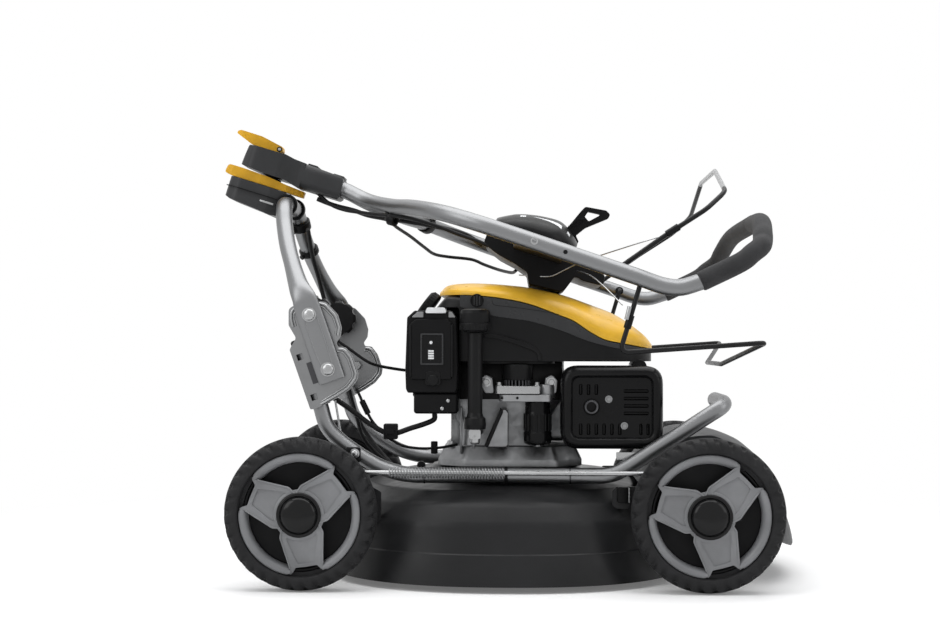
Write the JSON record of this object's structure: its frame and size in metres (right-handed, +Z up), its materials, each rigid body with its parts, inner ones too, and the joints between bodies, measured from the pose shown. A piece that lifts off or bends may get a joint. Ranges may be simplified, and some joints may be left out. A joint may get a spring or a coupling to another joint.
{
  "type": "petrol lawn mower",
  "caption": "Walk-behind petrol mower folded for transport: round deck, wheels on swinging axles, top engine with yellow cover, and a fold-over tube handle with levers.",
  "frame": {"origin": "on the ground in the middle of the object's outline, under the blade's shaft", "axes": "+X to the mower's front, +Y to its left side, +Z up"},
  "size_m": [0.8499, 0.5642, 0.6608],
  "materials": {
    "tyre_front_right": "matt black rubber with side lugs",
    "tyre_front_left": "matt black rubber with side lugs",
    "tyre_rear_right": "matt black rubber with side lugs",
    "tyre_rear_left": "matt black rubber with side lugs",
    "rim_front_right": "grained black plastic",
    "rim_front_left": "grained black plastic",
    "rim_rear_right": "grained black plastic",
    "rim_rear_left": "grained black plastic",
    "wheel_cover_front_right": "satin grey plastic",
    "wheel_cover_front_left": "satin grey plastic",
    "wheel_cover_rear_right": "satin grey plastic",
    "wheel_cover_rear_left": "satin grey plastic",
    "hub_cap_front_right": "gloss black plastic",
    "hub_cap_front_left": "gloss black plastic",
    "hub_cap_rear_right": "gloss black plastic",
    "hub_cap_rear_left": "gloss black plastic",
    "deck": "satin black powder coat",
    "front_cowl": "grained dark grey plastic",
    "frame_tube_right": "zinc plated steel",
    "frame_tube_left": "zinc plated steel",
    "fold_bracket_right": "zinc plated steel",
    "fold_bracket_left": "zinc plated steel",
    "front_axle": "zinc plated steel",
    "rear_axle": "zinc plated steel",
    "gearbox": "cast aluminium",
    "height_rod": "zinc plated steel",
    "height_spring": "zinc plated spring wire",
    "crankcase": "cast aluminium",
    "engine_cowl": "grained dark grey plastic",
    "engine_cover": "gloss yellow plastic",
    "muffler": "zinc plated steel",
    "muffler_guard": "grained black plastic",
    "battery_holder": "grained black plastic",
    "battery_pack": "grained black plastic",
    "oil_filler_tube": "grained black plastic",
    "dipstick": "grained black plastic",
    "starter_motor": "grained black plastic",
    "starter_housing": "cast aluminium",
    "fuel_cap": "gloss black plastic",
    "air_filter_cover": "grained black plastic",
    "crankshaft": "zinc plated steel",
    "blade_holder": "zinc plated steel",
    "blade": "zinc plated steel",
    "blade_bolt": "zinc plated steel",
    "lower_handle": "zinc plated steel",
    "clamp_knob_right": "grained black plastic",
    "clamp_knob_left": "grained black plastic",
    "joint_base": "grained black plastic",
    "joint_head": "grained black plastic",
    "tilt_lever": "satin yellow plastic",
    "swivel_lever": "satin yellow plastic",
    "upper_handle": "zinc plated steel",
    "grip_foam": "closed cell foam",
    "control_panel": "grained black plastic",
    "throttle_lever": "grained black plastic",
    "brake_bail": "black coated wire, bare across its middle",
    "drive_bail": "black coated wire",
    "handle_cable": "matt rubber",
    "leg_cable": "matt rubber",
    "engine_cable": "matt rubber"
  },
  "bodies": {
    "chassis": {"deck": "deck", "front_cowl": "front_cowl", "frame_tube_right": "frame_tube_right", "frame_tube_left": "frame_tube_left", "fold_bracket_right": "fold_bracket_right", "fold_bracket_left": "fold_bracket_left", "crankcase": "crankcase", "engine_cowl": "engine_cowl", "engine_cover": "engine_cover", "muffler": "muffler", "muffler_guard": "muffler_guard", "battery_holder": "battery_holder", "oil_filler_tube": "oil_filler_tube", "starter_motor": "starter_motor", "starter_housing": "starter_housing", "air_filter_cover": "air_filter_cover", "leg_cable": "leg_cable", "engine_cable": "engine_cable"},
    "front_axle": {"front_axle": "front_axle"},
    "rear_axle": {"rear_axle": "rear_axle", "gearbox": "gearbox"},
    "height_rod": {"height_rod": "height_rod", "height_spring": "height_spring"},
    "lower_handle": {"lower_handle": "lower_handle"},
    "clamp_knob_right": {"clamp_knob_right": "clamp_knob_right"},
    "clamp_knob_left": {"clamp_knob_left": "clamp_knob_left"},
    "joint_base": {"joint_base": "joint_base"},
    "tilt_lever": {"tilt_lever": "tilt_lever"},
    "upper_handle": {"joint_head": "joint_head", "upper_handle": "upper_handle", "grip_foam": "grip_foam", "control_panel": "control_panel", "handle_cable": "handle_cable"},
    "swivel_lever": {"swivel_lever": "swivel_lever"},
    "throttle_lever": {"throttle_lever": "throttle_lever"},
    "brake_bail": {"brake_bail": "brake_bail"},
    "drive_bail": {"drive_bail": "drive_bail"},
    "blade_shaft": {"crankshaft": "crankshaft", "blade_holder": "blade_holder", "blade": "blade", "blade_bolt": "blade_bolt"},
    "battery_pack": {"battery_pack": "battery_pack"},
    "dipstick": {"dipstick": "dipstick"},
    "fuel_cap": {"fuel_cap": "fuel_cap"},
    "wheel_front_right": {"tyre_front_right": "tyre_front_right", "rim_front_right": "rim_front_right", "wheel_cover_front_right": "wheel_cover_front_right", "hub_cap_front_right": "hub_cap_front_right"},
    "wheel_front_left": {"tyre_front_left": "tyre_front_left", "rim_front_left": "rim_front_left", "wheel_cover_front_left": "wheel_cover_front_left", "hub_cap_front_left": "hub_cap_front_left"},
    "wheel_rear_right": {"tyre_rear_right": "tyre_rear_right", "rim_rear_right": "rim_rear_right", "wheel_cover_rear_right": "wheel_cover_rear_right", "hub_cap_rear_right": "hub_cap_rear_right"},
    "wheel_rear_left": {"tyre_rear_left": "tyre_rear_left", "rim_rear_left": "rim_rear_left", "wheel_cover_rear_left": "wheel_cover_rear_left", "hub_cap_rear_left": "hub_cap_rear_left"}
  },
  "joints": [
    {"name": "rear_height", "type": "hinge", "parent": "chassis", "child": "rear_axle", "pos_m": [-0.2007, 0, 0.1254], "axis": [0, -1, 0], "range_deg": [0, 20]},
    {"name": "front_height", "type": "hinge", "parent": "chassis", "child": "front_axle", "pos_m": [0.3533, 0, 0.1254], "axis": [0, -1, 0], "range_deg": [0, 20]},
    {"name": "height_rod_swing", "type": "hinge", "parent": "rear_axle", "child": "height_rod", "pos_m": [-0.2007, -0.2075, 0.1584], "axis": [0, -1, 0], "range_deg": [-20, 0]},
    {"name": "lower_handle_fold", "type": "hinge", "parent": "chassis", "child": "lower_handle", "pos_m": [-0.2455, 0, 0.301], "axis": [0, 1, 0], "range_deg": [-8, 0]},
    {"name": "knob_turn_right", "type": "hinge", "parent": "lower_handle", "child": "clamp_knob_right", "pos_m": [-0.272, -0.1878, 0.377], "axis": [0, 1, 0], "range_deg": [0, 360]},
    {"name": "knob_turn_left", "type": "hinge", "parent": "lower_handle", "child": "clamp_knob_left", "pos_m": [-0.272, 0.1878, 0.377], "axis": [0, -1, 0], "range_deg": [0, 360]},
    {"name": "handle_tilt", "type": "hinge", "parent": "lower_handle", "child": "joint_base", "pos_m": [-0.328, 0, 0.544], "axis": [0, -1, 0], "range_deg": [0, 25]},
    {"name": "tilt_lever_swing", "type": "hinge", "parent": "joint_base", "child": "tilt_lever", "pos_m": [-0.31281, 0, 0.56294], "axis": [0.297, 0, 0.9549], "range_deg": [0, 60]},
    {"name": "handle_swivel", "type": "hinge", "parent": "joint_base", "child": "upper_handle", "pos_m": [-0.35283, 0, 0.60262], "axis": [0.297, 0, 0.9549], "range_deg": [0, 10]},
    {"name": "swivel_lever_lift", "type": "hinge", "parent": "upper_handle", "child": "swivel_lever", "pos_m": [-0.34378, 0, 0.63174], "axis": [0, 1, 0], "range_deg": [0, 80]},
    {"name": "throttle_turn", "type": "hinge", "parent": "upper_handle", "child": "throttle_lever", "pos_m": [0.07731, 0, 0.49159], "axis": [0, -1, 0], "range_deg": [0, 50]},
    {"name": "brake_bail_turn", "type": "hinge", "parent": "upper_handle", "child": "brake_bail", "pos_m": [0.151, 0, 0.4368], "axis": [0, 1, 0], "range_deg": [0, 22], "stiffness_Nm_per_rad": 1, "springref_deg": -34.38},
    {"name": "drive_bail_turn", "type": "hinge", "parent": "upper_handle", "child": "drive_bail", "pos_m": [0.187, 0, 0.4255], "axis": [0, -1, 0], "range_deg": [0, 36], "stiffness_Nm_per_rad": 0.6, "springref_deg": -22.92},
    {"name": "blade_spin", "type": "hinge", "parent": "chassis", "child": "blade_shaft", "pos_m": [0, 0, 0.18], "axis": [0, 0, 1], "continuous": true},
    {"name": "battery_slide", "type": "slide", "parent": "chassis", "child": "battery_pack", "axis": [0, -1, 0], "range_m": [0, 0.06]},
    {"name": "dipstick_lift", "type": "slide", "parent": "chassis", "child": "dipstick", "axis": [0, 0, 1], "range_m": [0, 0.126]},
    {"name": "fuel_cap_turn", "type": "hinge", "parent": "chassis", "child": "fuel_cap", "pos_m": [-0.1075, -0.052, 0.388], "axis": [-0.8, 0, 0.6], "range_deg": [0, 90]},
    {"name": "wheel_spin_front_right", "type": "hinge", "parent": "front_axle", "child": "wheel_front_right", "pos_m": [0.277, -0.24, 0.105], "axis": [0, 1, 0], "continuous": true},
    {"name": "wheel_spin_front_left", "type": "hinge", "parent": "front_axle", "child": "wheel_front_left", "pos_m": [0.277, 0.24, 0.105], "axis": [0, 1, 0], "continuous": true},
    {"name": "wheel_spin_rear_right", "type": "hinge", "parent": "rear_axle", "child": "wheel_rear_right", "pos_m": [-0.277, -0.24, 0.105], "axis": [0, 1, 0], "continuous": true},
    {"name": "wheel_spin_rear_left", "type": "hinge", "parent": "rear_axle", "child": "wheel_rear_left", "pos_m": [-0.277, 0.24, 0.105], "axis": [0, 1, 0], "continuous": true}
  ],
  "couplings": [
    {"joint": "front_height", "follows": "rear_height", "ratio": 1},
    {"joint": "height_rod_swing", "follows": "rear_height", "ratio": -1}
  ]
}
